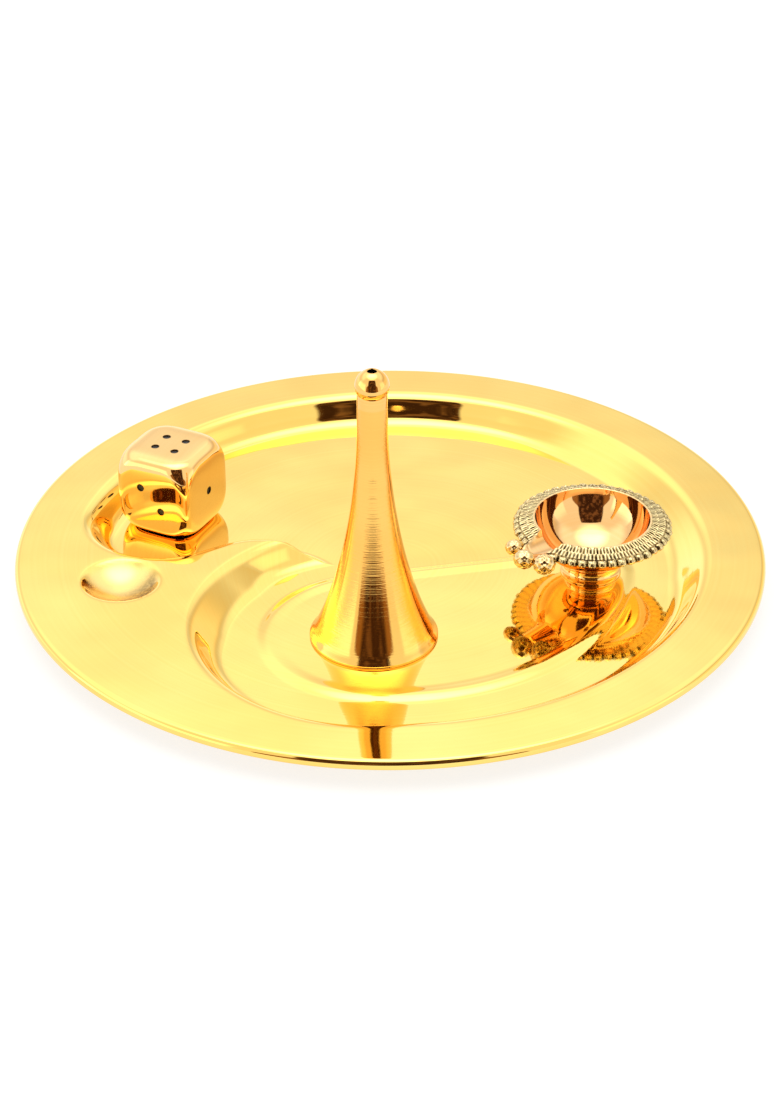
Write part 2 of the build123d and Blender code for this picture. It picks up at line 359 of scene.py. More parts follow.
def pressed(depth, slope):
    """How far the sheet is pressed down, by depth inside an edge.

    A round shoulder leads to a straight wall, a round root and a flat floor.
    """
    corner = shoulder_radius * np.tan(slope / 2)
    root_end = corner + recess_depth / np.tan(slope) + root_radius * np.tan(slope / 2)
    shoulder = shoulder_radius - np.sqrt(np.maximum(shoulder_radius**2 - depth**2, 0))
    wall = (depth - corner) * np.tan(slope)
    root_drop = np.sqrt(np.maximum(root_radius**2 - (root_end - depth) ** 2, 0))
    root = recess_depth - root_radius + root_drop
    return np.select(
        (
            depth <= 0,
            depth < shoulder_radius * np.sin(slope),
            depth < root_end - root_radius * np.sin(slope),
            depth < root_end,
        ),
        (0, shoulder, wall, root),
        recess_depth,
    )


def raised(x, y):
    """How far the floor is raised, with a bead that runs out at the lamp and at the left."""
    depth = outline_depth(x, y, raised_outline())
    bead = crest_rise * fade(distance_to(x, y, lamp_end), *crest_from_lamp)
    bead = bead * fade(x, *crest_from_left)
    return (raised_rise + bead) * fade(depth, -raised_edge, 0) - bead * fade(depth, 0, crest_width)


def plate_height(x, y):
    """The height of the plate's upper face."""
    slope = slope_at(x, y)
    main = pressed(outline_depth(x, y, main_outline()), slope)
    lobe = pressed(lobe_radius - distance_to(x, y, lobe_middle), slope)
    above_floor = (1 - main / recess_depth) * (1 - lobe / recess_depth)
    soft = ridge_softness * np.clip(ridge_gain * above_floor, 0, 1)
    soft = soft * fade(np.minimum(main, lobe), 0, ridge_fade)
    drop = np.maximum(main, lobe) + rounding(main - lobe, soft) - raised(x, y)
    ball = cap_ball(dimple_radius, dimple_depth)
    from_dimple = distance_to(x, y, dimple_middle)
    cap = np.sqrt(np.maximum(ball**2 - from_dimple**2, 0)) - ball + dimple_depth
    dimple = (cap + np.sqrt(cap**2 + dimple_softness)) / 2
    return rim_level - drop - dimple * (from_dimple < dimple_radius + sheet)


def plate_mesh():
    """The points and faces of the whole sheet: its upper face, turned-down edge and underside."""
    reach = slope_reach
    flat = plate_radius - edge_roll
    turn = np.linspace(0, FULL_TURN, plate_columns, endpoint=False)
    radius = np.linspace(axis_radius, flat, plate_rings)[:, None]
    x, y = radius * np.cos(turn), radius * np.sin(turn)
    top = np.stack((x, y, plate_height(x, y)), -1)
    slope_x = (plate_height(x + reach, y) - plate_height(x - reach, y)) / (2 * reach)
    slope_y = (plate_height(x, y + reach) - plate_height(x, y - reach)) / (2 * reach)
    normal = np.stack((-slope_x, -slope_y, np.ones_like(x)), -1)
    normal /= np.linalg.norm(normal, axis=-1, keepdims=True)
    under = (top - sheet * normal)[::-2]
    under[..., 2] = np.maximum(under[..., 2], plate_low[2])
    roll = (flat, rim_level - edge_roll)
    lip = (plate_radius - sheet / 2, rim_level - edge_drop + sheet / 2)
    edge = arc(roll, edge_roll, edge_angle, 0, 8)
    edge += arc(lip, sheet / 2, 0, -180, 9)
    edge += arc(roll, edge_roll - sheet, 0, edge_angle, 4)
    rings = np.concatenate((top, ring_points(edge, 0, 0, plate_columns), under))
    faces = closed_rings(len(rings), plate_columns)
    return rings.reshape(-1, 3), [face[::-1] for face in faces]


def plate_marks(points):
    """Where the dimple is worn by use, and where painted shade darkens its near right side."""
    aside, forward = (points[:, :2] - dimple_middle).T
    wear_and_shade_area = fade(np.hypot(aside, forward), dimple_radius, dimple_radius - dimple_wear_and_shade_edge)
    return {"rim": wear_and_shade_area, "crevice": wear_and_shade_area * fade(aside - forward, *dimple_shade_side)}


# Incense stand

stand_low, stand_high = node_box("incense_stand_body")
stand_x, stand_y = (stand_low[:2] + stand_high[:2]) / 2
stand_foot = stand_low[2]
stand_height = stand_high[2] - stand_foot
stand_base = (stand_high[0] - stand_low[0]) / 2
stand_neck = 4.75
stand_neck_bevel = 0.15
stand_edge = 0.8
stand_wall = 2.0
stand_foot_round = 0.35
stand_foot_bevel = 0.1
stand_foot_lift = 0.05
stand_hollow_height = 52.0
stand_hollow_crown = 6.0
stand_hollow_radius = 2.6
stand_hollow_round = 0.8
stand_flare_heights = np.array((0.055, 0.17, 0.33, 0.515, 0.68, 0.81, 1))
stand_flare_widths = np.array((0.853, 0.62, 0.38, 0.187, 0.075, 0.021, 0))
ball_low, ball_high = node_box("incense_stand_ball")
ball_radius = (ball_high[0] - ball_low[0]) / 2
ball_crown_drop = 0.35
collar_radius = 4.78
seam_depth = 0.22
seam_height = 0.35
stick_hole_radius = 1.5
stick_hole_depth = 14.0
stick_hole_bevel = ((0.12, 0.02), (0, 0.15))


def stand_profile():
    """The trumpet's section, from the top of its hollow round its foot to its neck."""
    radii = stand_neck + stand_flare_widths * (stand_base - stand_neck)
    flare = zip(radii, stand_flare_heights * stand_height)
    outside = curve([(stand_base, stand_edge)] + list(flare), 14)
    crown = stand_hollow_height - stand_hollow_crown
    inside = [(radius - stand_wall, height) for radius, height in outside if height < crown]
    hollow = [
        (axis_radius, stand_hollow_height),
        (stand_hollow_radius, stand_hollow_height - stand_hollow_round),
    ]
    foot = [
        (stand_base - stand_wall, stand_foot_lift),
        (stand_base - stand_foot_round, 0),
        (stand_base - stand_foot_bevel, stand_foot_bevel),
        (stand_base, stand_foot_round),
    ]
    top = [(stand_neck - stand_neck_bevel, stand_height), (axis_radius, stand_height)]
    section = hollow + inside[::-1] + foot + outside + top
    return [(radius, stand_foot + height) for radius, height in section]


def ball_profile():
    """The ball's section, from its collar and seam over the crown and down into the hole."""
    neck = stand_foot + stand_height
    crown_level = ball_high[2]
    middle = crown_level + ball_crown_drop - ball_radius
    start = -math.degrees(math.acos(collar_radius / ball_radius))
    crown = math.degrees(math.asin((ball_radius - ball_crown_drop) / ball_radius))
    ball = arc((0, middle), ball_radius, start, crown, 44)
    seam = ball[0][1] - seam_height / 2
    collar = [
        (axis_radius, neck),
        (collar_radius, neck),
        (collar_radius, seam - seam_height / 2),
        (collar_radius - seam_depth, seam),
    ]
    hole = [(stick_hole_radius + out, crown_level - down) for out, down in stick_hole_bevel]
    bottom = crown_level - stick_hole_depth
    return collar + ball + hole + [(stick_hole_radius, bottom), (axis_radius, bottom)]


# Oil lamp: heights are counted from the underside of its foot

foot_low, foot_high = node_box("diya_foot")
lamp_x, lamp_y = (foot_low[:2] + foot_high[:2]) / 2
lamp_level = foot_low[2]
mouth = node_box("diya_bowl")[1][2] - lamp_level
foot_radius = (foot_high[0] - foot_low[0]) / 2
foot_edge = 0.7
foot_bevel = 0.2
foot_seam = 0.15
foot_top_radius = 8.2
foot_height = 3.2
boss_radius = 8.0
boss_levels = (4.4, 4.1, 3.9, foot_height + 0.5)
boss_bevel = 0.25
boss_lift = 0.05
bowl_columns = 960
bowl_radius = 19.0
bowl_depth = 15.5
bowl_lip_drop = 0.3
bowl_wall = 2.0
shell_angles = (17, 67)

# Oil lamp: the rim, with two rows of ribs, a groove and a row of petals

rim_under = mouth - 4.4
rim_inner = 18.9
rim_width = 7.7
rim_margin = 0.2
rib_count = 60
rib_depth = 0.55
rib_start = 19.8
rib_run = 4.5
rib_fall = 1.5
rib_drop = 0.2
rib_roundness = 1.1
rib_fullness = 0.4
rib_evenness = 0.6
rib_variation = 0.5
rib_shade = 2
groove_radius = 24.45
groove_width = 0.15
groove_drop = 2.1
groove_petal_share = 0.1
groove_reach = 0.32
groove_floor = mouth - 2.5
groove_shade = 0.6
groove_shade_wave = 0.4
petal_count = 24
petal_cut = 1.1
petal_drop = 0.45
petal_roundness = 0.8
petal_cut_power = 1.5
petal_paleness = 0.75
petal_shade = 1.6
petal_shade_power = 1.3
vein_width = 0.16
vein_shade = 0.6
cast_relief = 0.14
cast_jitter = 0.3
cast_shade = 0.6
cast_fine = (7, 131)
cast_coarse = (5, -83, 40)

# Rows of the rim's section: radius, drop below the mouth, and shares of petal, underside and rim

lip_rows = ((19.05, 0.1, 0, 0, 0), (19.25, 0, 0, 0, 0.3), (19.6, 0, 0, 0, 0.6))
petal_rows = (
    (24.75, 2.0, 0.3, 0, 1),
    (25.0, 1.85, 0.6, 0, 1),
    (25.3, 1.8, 0.85, 0, 1),
    (25.65, 1.9, 1, 0, 1),
    (26.0, 2.1, 1, 0, 1),
    (26.3, 2.4, 1, 0, 1),
    (26.5, 2.75, 1, 0.2, 1),
    (26.6, 3.15, 1, 0.45, 1),
    (26.45, 3.55, 1, 0.7, 1),
    (26.15, 3.9, 1, 0.9, 1),
    (25.75, 4.2, 1, 1, 1),
    (25.2, 4.4, 0.9, 1, 1),
)
under_radii = (24.4, 23.2, 22.0, 21.0)

# Oil lamp: the wick lip, and beads at its tip by distance, angle, radius, grain and paleness

wick_angle = 221
wick_start = 8.0
wick_radius = 7.2
wick_taper = 3.6 / 21
wick_wall = 2.0
wick_reach = 2.6
wick_spread = (16, 6)
wick_softness = 1.6
wick_plain_share = 0.8
wick_plain_run = 2
wick_bead_level = mouth - 3.7
wick_beads = (
    (29.6, -14.5, 2.9, 0.5, 0.5),
    (31.2, 0, 3.5, 0.5, 0.7),
    (29.3, 13, 3.6, 1, 0.5),
)
bead_columns = 48
bead_rings = 30
bead_squash = 0.88
bead_grain = 0.08
bead_grain_shade = 0.8
bead_under_shade = 0.75


def chance(number):
    """A fixed share from 0 to 1 for each whole number, as if drawn at random."""
    return np.modf(np.abs(np.sin(np.round(number) * 12.9898) * 43758.5453))[0]


def foot_profile():
    """The foot's section, with a fine seam where the bowl's boss sits on it."""
    sweep = arc((foot_radius, foot_height), foot_radius - foot_top_radius, 262, 180, 14)
    rise = (foot_height - foot_edge) / (foot_radius - foot_top_radius)
    sweep = [(radius, foot_height - (foot_height - height) * rise) for radius, height in sweep]
    rim = [
        (axis_radius, 0),
        (foot_radius - foot_bevel, 0),
        (foot_radius, foot_bevel),
        (foot_radius, foot_edge - foot_seam),
    ]
    top = [(foot_top_radius - foot_seam, foot_height), (axis_radius, foot_height)]
    return [(radius, lamp_level + height) for radius, height in rim + sweep + top]


def bowl_rows():
    """The bowl's section: radius, height, and shares of rib, petal, underside and rim."""
    ball = cap_ball(bowl_radius, bowl_depth)
    lip_angle = -math.degrees(math.acos(bowl_radius / ball))
    middle = (0, mouth - bowl_lip_drop - bowl_depth + ball)
    rows = [(*point, 0, 0, 0, 0) for point in arc(middle, ball, -89, lip_angle, 56)]
    rows += [(radius, mouth - drop, 0, *shares) for radius, drop, *shares in lip_rows]
    for share in np.linspace(0, 1, 21):
        height = mouth - rib_drop - rib_fall * share
        rows.append((rib_start + rib_run * share, height, math.sin(FULL_TURN * share), 0, 0, 1))
    rows.append((groove_radius, mouth - groove_drop, 0, 0, 0, 1))
    groove_end = groove_radius + groove_width
    rows.append((groove_end, mouth - groove_drop, 0, groove_petal_share, 0, 1))
    rows += [(radius, mouth - drop, 0, *shares) for radius, drop, *shares in petal_rows]
    rows += [(radius, rim_under, 0, 0, 1, 0.5) for radius in under_radii]
    for turn in np.radians(np.linspace(*shell_angles, 26)):
        radius = (bowl_radius + bowl_wall) * math.cos(turn)
        rows.append((radius, mouth - (bowl_depth + bowl_wall) * math.sin(turn), 0, 0, 1, 0))
    rows += [(boss_radius, level, 0, 0, 1, 0) for level in boss_levels]
    for radius in (boss_radius - boss_bevel, axis_radius):
        rows.append((radius, foot_height + boss_lift, 0, 0, 1, 0))
    return np.array(rows)


def bowl_shell():
    """The points, faces and marks of the bowl: ribs and petals on its rim, and a wick lip."""
    turn = np.linspace(-math.pi, math.pi, bowl_columns, endpoint=False)
    rows = bowl_rows()
    row_radius, row_height = rows[:, :1], rows[:, 1:2]
    radius, height, rib, petal, under, rim = (column[:, None] + 0 * turn for column in rows.T)

    # The rim reaches out at the wick lip, where the trough leaves it plain
    rim_share = np.clip((radius - rim_inner) / rim_width, 0, 1) * (height > rim_under - rim_margin)
    radius = radius + wick_reach * rim_share * fade(np.degrees(np.abs(turn)), *wick_spread)
    forward, aside = radius * np.cos(turn), np.abs(radius * np.sin(turn))
    trough = wick_radius - wick_taper * (np.maximum(forward, wick_start) - wick_start)
    beside_lip = smooth((aside - wick_plain_share * trough) / wick_plain_run)
    plain = np.where(forward > wick_start, beside_lip, 1)

    # Gaps between ribs and between petals, a little uneven, and the grain of the casting
    rib_chance = chance(rib_count * turn / math.pi)
    petal_chance = chance(petal_count * turn / math.pi)
    rib_wave = np.where(rib > 0, np.cos(rib_count * turn), np.sin(rib_count * turn))
    rib_gap = (1 - np.abs(rib_wave) ** rib_roundness) * np.abs(rib) ** rib_fullness
    rib_gap = rib_gap * plain * (rib_evenness + rib_variation * rib_chance)
    petal_gap = (1 - np.abs(np.cos(petal_count * turn)) ** petal_roundness) * petal * plain
    fine = np.sin(cast_fine[0] * row_radius + cast_fine[1] * turn)
    coarse = cast_coarse[0] * row_radius + cast_coarse[1] * turn + cast_coarse[2] * row_height
    cast = fine * np.sin(coarse) * rim * plain
    upper_drop = petal_drop * petal_gap + cast_jitter * petal_chance * petal * plain
    height = height - rib_depth * rib_gap - upper_drop * (under < 0.5) - cast_relief * cast
    jitter = cast_jitter * chance(petal_chance * FAR) * petal * plain
    radius = radius - petal_cut * petal_gap**petal_cut_power - jitter

    # The trough of the lip, cut with a soft edge
    forward, aside = radius * np.cos(turn), np.abs(radius * np.sin(turn))
    trough = trough + wick_wall * under
    cut = mouth - np.sqrt(np.maximum(trough**2 - aside**2, 0))
    soft_cut = np.minimum(height, cut) - rounding(height - cut, wick_softness) * (under == 0)
    height = np.where((forward > wick_start) & (aside < trough), soft_cut, height)
    angle = turn + math.radians(wick_angle)
    points = np.stack((radius * np.cos(angle), radius * np.sin(angle), height), -1)
    faces = [face[::-1] for face in closed_rings(len(rows), bowl_columns)]

    # Marks for the material: the rim's paleness, and painted shade in the rib and petal gaps and
    # the groove
    paleness = rim * plain * (petal_paleness + (1 - petal_paleness) * petal_chance)
    in_groove = np.abs(row_radius - groove_radius) < groove_reach
    in_groove = in_groove * (row_height > groove_floor)
    wave = groove_shade + groove_shade_wave * np.cos(2 * rib_count * turn)
    vein = vein_shade * np.exp(-((np.sin(petal_count * turn) / vein_width) ** 2))
    vein = vein * petal * plain * (under < 0.1)
    crevice = rib_shade * rib_gap + petal_shade * petal_gap**petal_shade_power
    crevice = np.clip(crevice + in_groove * plain * wave + vein + cast_shade * cast, 0, 1)
    return points.reshape(-1, 3), faces, paleness.ravel(), crevice.ravel()


def bowl_mesh():
    """The points, faces and marks of the bowl with the three beads at the tip of its lip."""
    shell, faces, paleness, crevice = bowl_shell()
    points, rims, crevices = [shell], [paleness], [crevice]
    start = len(shell)
    for distance, spread, radius, grain, pale in wick_beads:
        middle = np.array((*polar(distance, wick_angle + spread), wick_bead_level))
        profile = arc((0, middle[2]), radius, -88, 88, bead_rings)
        bead, bead_faces = turned(profile, *middle[:2], bead_columns)
        ring, column = np.divmod(np.arange(len(bead)), bead_columns)
        texture = grain * np.cos(column * math.pi / 4) * np.cos(ring * math.pi / 3)
        # Painted shade: each bead darkens towards its underside
        shade = smooth((middle[2] - bead[:, 2]) / radius)
        swell = 1 - bead_grain * texture[:, None]
        points.append(middle + (bead - middle) * (1, 1, bead_squash) * swell)
        faces += [[start + corner for corner in face] for face in bead_faces]
        start += len(bead)
        rims.append(np.full(len(bead), pale))
        painted_shade_and_dark_tone = bead_grain_shade * np.clip(texture, 0, 1) + bead_under_shade * shade
        crevices.append(np.clip(painted_shade_and_dark_tone, 0, 1))
    points = np.concatenate(points) + (lamp_x, lamp_y, lamp_level)
    return points, faces, {"rim": np.concatenate(rims), "crevice": np.concatenate(crevices)}


# Die

die_low, die_high = node_box("dice_body")
die_middle = (die_low + die_high) / 2
die_half = (die_high[2] - die_low[2]) / 2
die_power = 8
die_ball = 20.4
die_softness = 1.5
die_turn = math.radians(-27)
die_grid = 121
pip_radius = 1.3
pip_depth = 1.0
pip_edge = 0.13
pip_spacing = 3.8
pip_row = 4.75
one_pip = ((0, 0),)
two_pips = ((-pip_spacing, pip_spacing), (pip_spacing, -pip_spacing))
four_pips = two_pips + ((-pip_spacing, -pip_spacing), (pip_spacing, pip_spacing))
six_pips = tuple((u, v) for u in (-pip_spacing, pip_spacing) for v in (-pip_row, 0, pip_row))
die_sides = (
    ((0, 1, 0), (1, 0, 0), one_pip),
    ((1, 0, 0), (0, -1, 0), two_pips),
    ((1, 0, 0), (0, 0, -1), two_pips + one_pip),
    ((1, 0, 0), (0, 0, 1), four_pips),
    ((-1, 0, 0), (0, 1, 0), four_pips + one_pip),
    ((0, -1, 0), (-1, 0, 0), six_pips),
)


def die_side(across, normal, spots):
    """The points of one side of the die, and which of them lie in a pip's pit."""
    across, normal = np.array(across), np.array(normal)
    upward = np.cross(normal, across)
    row = np.linspace(-die_half, die_half, die_grid)
    u, v = (grid.ravel() for grid in np.meshgrid(row, row, indexing="ij"))
    sunk, pit = np.zeros_like(u), np.zeros_like(u)
    for spot_u, spot_v in spots:
        away = np.hypot(u - spot_u, v - spot_v)
        on_edge = np.abs(away - pip_radius) < pip_edge
        scale = np.where(on_edge, pip_radius / np.maximum(away, 0.01), 1)
        sunk = np.where(away < pip_radius - pip_edge, pip_depth, sunk)
        pit = np.where(away < pip_radius + pip_edge, 1, pit)
        u, v = spot_u + (u - spot_u) * scale, spot_v + (v - spot_v) * scale
    cube = u[:, None] * across + v[:, None] * upward + die_half * normal
    power = np.sum(np.abs(cube / die_half) ** die_power, axis=1, keepdims=True)
    side = cube / power ** (1 / die_power)
    length = np.linalg.norm(side, axis=1, keepdims=True)
    ground = np.minimum(length, die_ball) - rounding(length - die_ball, die_softness)
    return side * ground / length - sunk[:, None] * normal, pit


def die_mesh():
    """The points, faces and marks of a cube with round edges, ground corners and pits."""
    grid = np.arange(die_grid**2).reshape(die_grid, die_grid)
    points, faces, pits = [], [], []
    for number, side in enumerate(die_sides):
        here = grid + number * die_grid**2
        quads = (here[:-1, :-1], here[1:, :-1], here[1:, 1:], here[:-1, 1:])
        faces.append(np.stack(quads, -1).reshape(-1, 4))
        side_points, side_pits = die_side(*side)
        points.append(side_points)
        pits.append(side_pits)
    points, faces, pits = np.concatenate(points), np.concatenate(faces), np.concatenate(pits)
    _, first, same = np.unique(
        np.round(points, 4), axis=0, return_index=True, return_inverse=True
    )
    points, faces = points[first], same.ravel()[faces]
    turned_x = points[:, 0] * math.cos(die_turn) - points[:, 1] * math.sin(die_turn)
    turned_y = points[:, 0] * math.sin(die_turn) + points[:, 1] * math.cos(die_turn)
    points = np.stack((turned_x, turned_y, points[:, 2]), -1) + die_middle
    return points, faces.tolist(), {"rim": 0 * pits[first], "crevice": pits[first]}


# Materials


class Nodes:
    """A short way to add and join shader nodes."""

    def __init__(self, tree):
        self.tree = tree
        self.tree.nodes.clear()

    def add(self, kind, values=None, **settings):
        """A node with these settings.

        Values are numbers, colours or sockets for its inputs, by name or place.
        """
        node = self.tree.nodes.new("ShaderNode" + kind)
        for name, value in settings.items():
            setattr(node, name, value)
        for name, value in (values or {}).items():
            self.set(node.inputs[name], value)
        return node

    def set(self, socket, value):
        """Gives an input a value, or joins it to another node's output."""
        if isinstance(value, bpy.types.NodeSocket):
            self.tree.links.new(value, socket)
        else:
            socket.default_value = value

    def math(self, operation, first, second=0.0):
        """The result of a sum."""
        return self.add("Math", {0: first, 1: second}, operation=operation).outputs[0]

    def blend(self, first, second, first_share, second_share):
        """The sum of a share of each of two values."""
        first = self.math("MULTIPLY", first, first_share)
        return self.math("ADD", first, self.math("MULTIPLY", second, second_share))

    def length(self, vector):
        """The length of a vector."""
        return self.add("VectorMath", {0: vector}, operation="LENGTH").outputs["Value"]

    def noise(self, vector, scale, detail=2.0):
        """A cloudy pattern."""
        values = {"Vector": vector, "Scale": scale, "Detail": detail}
        return self.add("TexNoise", values).outputs[0]

    def ramp(self, value, low, high, start=0.0, end=1.0):
        """A soft ramp from start to end as the value goes from low to high."""
        values = {"Value": value, "From Min": low, "From Max": high, "To Min": start, "To Max": end}
        return self.add("MapRange", values, interpolation_type="SMOOTHSTEP").outputs[0]

    def within(self, value, low, high, edge):
        """1 where the value lies between low and high, 0 elsewhere, with soft edges."""
        rising = self.ramp(value, low - edge, low)
        return self.math("MULTIPLY", rising, self.ramp(value, high, high + edge, 1.0, 0.0))

    def mix(self, share, first, second):
        """A colour between two colours."""
        node = self.add("Mix", {0: share}, data_type="RGBA")
        for place, value in ((6, first), (7, second)):
            colour = (*value, 1) if isinstance(value, tuple) else value
            self.set(node.inputs[place], colour)
        return node.outputs[2]


def new_material(name):
    """A material without nodes, and the way to add them."""
    material = bpy.data.materials.new(name)
    material.use_nodes = True
    return material, Nodes(material.node_tree)


BUMP_DISTANCE = 0.0002
CLOUD_SCALE = 18.0
SPECK_SCALE = 900.0
SPECK_RELIEF = 0.15
SWELL_SCALE = 32.0
TINT_SHARES = (0.8, 0.2)
TINT_RANGE = (0.3, 0.7)
WEAR_SHARES = (0.5, 0.5)
WEAR_RANGE = (0.3, 0.75)
SHADE_AND_TONE_SPECKS = (0.3, 0.6, 0.6, 1.0)
ORNAMENT_ROUGHNESS = 0.2


def brass(
    name,
    pale,
    deep,
    roughness,
    marks,
    strength,
    centre=(0, 0),
    upright=False,
    ornament=None,
    wave=0.0,
):
    """Polished brass in two tints, with tool marks round an axis and fine specks.

    The marks have a scale and a strength, and lie along the axis if upright. The ornament's two
    colours, for its raised parts and its crevices, follow the mesh's marks: the crevice colour is
    painted shade on the lamp and in the plate's dimple, and black paint in the die's pits. The wave
    is how far the sheet is uneven, in metres.
    """
    material, nodes = new_material(name)
    place = nodes.add("TexCoord").outputs["Object"]
    middle = (centre[0] / MM_PER_M, centre[1] / MM_PER_M, 0)
    local = nodes.add("VectorMath", {0: place, 1: middle}, operation="SUBTRACT").outputs[0]
    x, y, z = nodes.add("SeparateXYZ", {0: local}).outputs
    run = z if upright else nodes.length(nodes.add("CombineXYZ", {0: x, 1: y}).outputs[0])
    values = {"W": nodes.math("MULTIPLY", run, marks), "Scale": 1.0, "Detail": 4.0}
    rings = nodes.add("TexNoise", values, noise_dimensions="1D").outputs[0]
    cloud = nodes.noise(local, CLOUD_SCALE, 3.0)
    speck = nodes.noise(local, SPECK_SCALE)
    tint = nodes.blend(cloud, rings, *TINT_SHARES)
    colour = nodes.mix(nodes.ramp(tint, *TINT_RANGE), deep, pale)
    wear = nodes.blend(cloud, rings, *WEAR_SHARES)
    rough = nodes.ramp(wear, *WEAR_RANGE, *roughness)
    if ornament:
        rim = nodes.add("Attribute", attribute_name="rim").outputs["Fac"]
        crevice = nodes.add("Attribute", attribute_name="crevice").outputs["Fac"]
        # Crevice colour: painted shade on the lamp and the plate, black paint in the die's pits,
        # flecked
        painted_shade_and_dark_tone = nodes.math("MULTIPLY", crevice, nodes.ramp(speck, *SHADE_AND_TONE_SPECKS))
        colour = nodes.mix(painted_shade_and_dark_tone, nodes.mix(rim, colour, ornament[0]), ornament[1])
        dull = nodes.math("MULTIPLY", nodes.math("MAXIMUM", rim, crevice), ORNAMENT_ROUGHNESS)
        rough = nodes.math("ADD", rough, dull)
    relief = nodes.math("ADD", rings, nodes.math("MULTIPLY", speck, SPECK_RELIEF))
    values = {"Height": relief, "Strength": strength, "Distance": BUMP_DISTANCE}
    bump = nodes.add("Bump", values).outputs[0]
    if wave:
        swell = nodes.noise(local, SWELL_SCALE, 1.0)
        values = {"Height": swell, "Strength": 1.0, "Distance": wave, "Normal": bump}
        bump = nodes.add("Bump", values).outputs[0]
    values = {"Base Color": colour, "Metallic": 1.0, "Roughness": rough, "Normal": bump}
    nodes.add("OutputMaterial", {0: nodes.add("BsdfPrincipled", values).outputs[0]})
    return material


def enamel():
    """Black enamel in the die's pits, a little dusty and uneven."""
    material, nodes = new_material("pip_enamel")
    cloud = nodes.noise(nodes.add("TexCoord").outputs["Object"], 700.0, 3.0)
    colour = nodes.mix(nodes.ramp(cloud, 0.35, 0.7), (0.004, 0.004, 0.004), (0.02, 0.016, 0.012))
    values = {"Height": cloud, "Strength": 0.2, "Distance": BUMP_DISTANCE}
    bump = nodes.add("Bump", values).outputs[0]
    rough = nodes.ramp(cloud, 0.3, 0.7, 0.3, 0.5)
    values = {"Base Color": colour, "Roughness": rough, "Normal": bump}
    nodes.add("OutputMaterial", {0: nodes.add("BsdfPrincipled", values).outputs[0]})
    return material


plate_brass = brass(
    "plate_brass",
    pale=(1.0, 0.74, 0.22),
    deep=(1.0, 0.66, 0.17),
    roughness=(0.02, 0.06),
    marks=900.0,
    strength=0.02,
    # In the dimple: the colour of its worn patch, then its painted shade on the near right side
    ornament=((0.98, 0.68, 0.24), (0.24, 0.16, 0.055)),
    wave=0.0004,
)
stand_brass = brass(
    "stand_brass",
    pale=(1.0, 0.62, 0.17),
    deep=(0.93, 0.5, 0.11),
    roughness=(0.04, 0.09),
    marks=2600.0,
    strength=0.1,
    centre=(stand_x, stand_y),
    upright=True,
)
ball_brass = brass(
    "ball_brass",
    pale=(1.0, 0.64, 0.22),
    deep=(0.94, 0.53, 0.15),
    roughness=(0.03, 0.08),
    marks=1800.0,
    strength=0.03,
    centre=(stand_x, stand_y),
    upright=True,
)
lamp_brass = brass(
    "lamp_brass",
    pale=(1.0, 0.65, 0.32),
    deep=(0.94, 0.55, 0.22),
    roughness=(0.03, 0.08),
    marks=1200.0,
    strength=0.03,
    centre=(lamp_x, lamp_y),
    # The second colour is painted shade in the rim's gaps and groove and under the beads
    ornament=((0.84, 0.7, 0.36), (0.07, 0.036, 0.008)),
)
foot_brass = brass(
    "foot_brass",
    pale=(1.0, 0.66, 0.26),
    deep=(0.94, 0.56, 0.17),
    roughness=(0.04, 0.1),
    marks=1600.0,
    strength=0.04,
    centre=(lamp_x, lamp_y),
)
die_brass = brass(
    "die_brass",
    pale=(1.0, 0.66, 0.28),
    deep=(0.97, 0.6, 0.22),
    roughness=(0.03, 0.08),
    marks=700.0,
    strength=0.02,
    ornament=((1.0, 0.66, 0.28), (0.005, 0.004, 0.003)),
)

plate_points, plate_faces = plate_mesh()
plate_wear_and_shade = plate_marks(plate_points)
add_mesh("thali", plate_points, plate_faces, "thali_plate", plate_brass, plate_wear_and_shade)
stand = turned(stand_profile(), stand_x, stand_y, 160)
add_mesh("stand", *stand, "incense_stand_body", stand_brass)
stand_ball = turned(ball_profile(), stand_x, stand_y, 96)
add_mesh("stand_ball", *stand_ball, "incense_stand_ball", ball_brass)
bowl_points, bowl_faces, bowl_marks = bowl_mesh()
add_mesh("lamp_bowl", bowl_points, bowl_faces, "diya_bowl", lamp_brass, bowl_marks)
lamp_foot = turned(foot_profile(), lamp_x, lamp_y, 128)
add_mesh("lamp_foot", *lamp_foot, "diya_foot", foot_brass)
die_points, die_faces, die_marks = die_mesh()
add_mesh("die", die_points, die_faces, "dice_body", die_brass, die_marks)
pips = frame["nodes"]["dice_pips"].data.materials
pips.clear()
pips.append(enamel())


# Studio: a pale floor, a white room with a dark opening behind the camera, and the camera

FLOOR_SIDE = 4.0
FLOOR_FRONT = -0.29
FLOOR_GAP = 0.0005
FLOOR_GLOW = 0.78
LOW_FADE = (0.3, 0.55, 1.0, 0.0)
LEFT_BOX = (-98, -48, 5)
LEFT_BOX_GAIN = 0.7
RIGHT_BOX = (60, 86, 4)
RIGHT_BOX_GAIN = 0.4
GAP_BEARING = (96, 160, 6)
BEHIND_RISE = (0.42, 0.66, 0.97, 1.47)
BEHIND_FOOT = (0.15, 0.4, 0.35, 0.0)
BEHIND_RIGHT = (0.06, 0.15, 0.0, 0.16)
FRONT_FADE = (-0.25, 0.1, 1.0, 0.0)
FRONT_LEVEL = 1.05
PANEL_LEVEL = 1.7
PANEL_SHIFT = 0.04
PANEL_REACH = (0.18, 0.68)
OPENING_RISE = (-0.4, 1.8, 0.08)
OPENING_WIDTH = (0.15, 0.6, 0.76, 0.46)
OPENING_NARROWING = (0.5, 2.2, 0.0, 0.14)
OPENING_EDGE = (-0.02, 0.02, 1.0, 0.0)
OPENING_SIDE_FADE = (0.4, 0.54)
SHELF_SCALE = 9.0
SHELF_RANGE = (0.45, 0.68)
OPENING_DARK = (0.045, 0.018, 0.009)
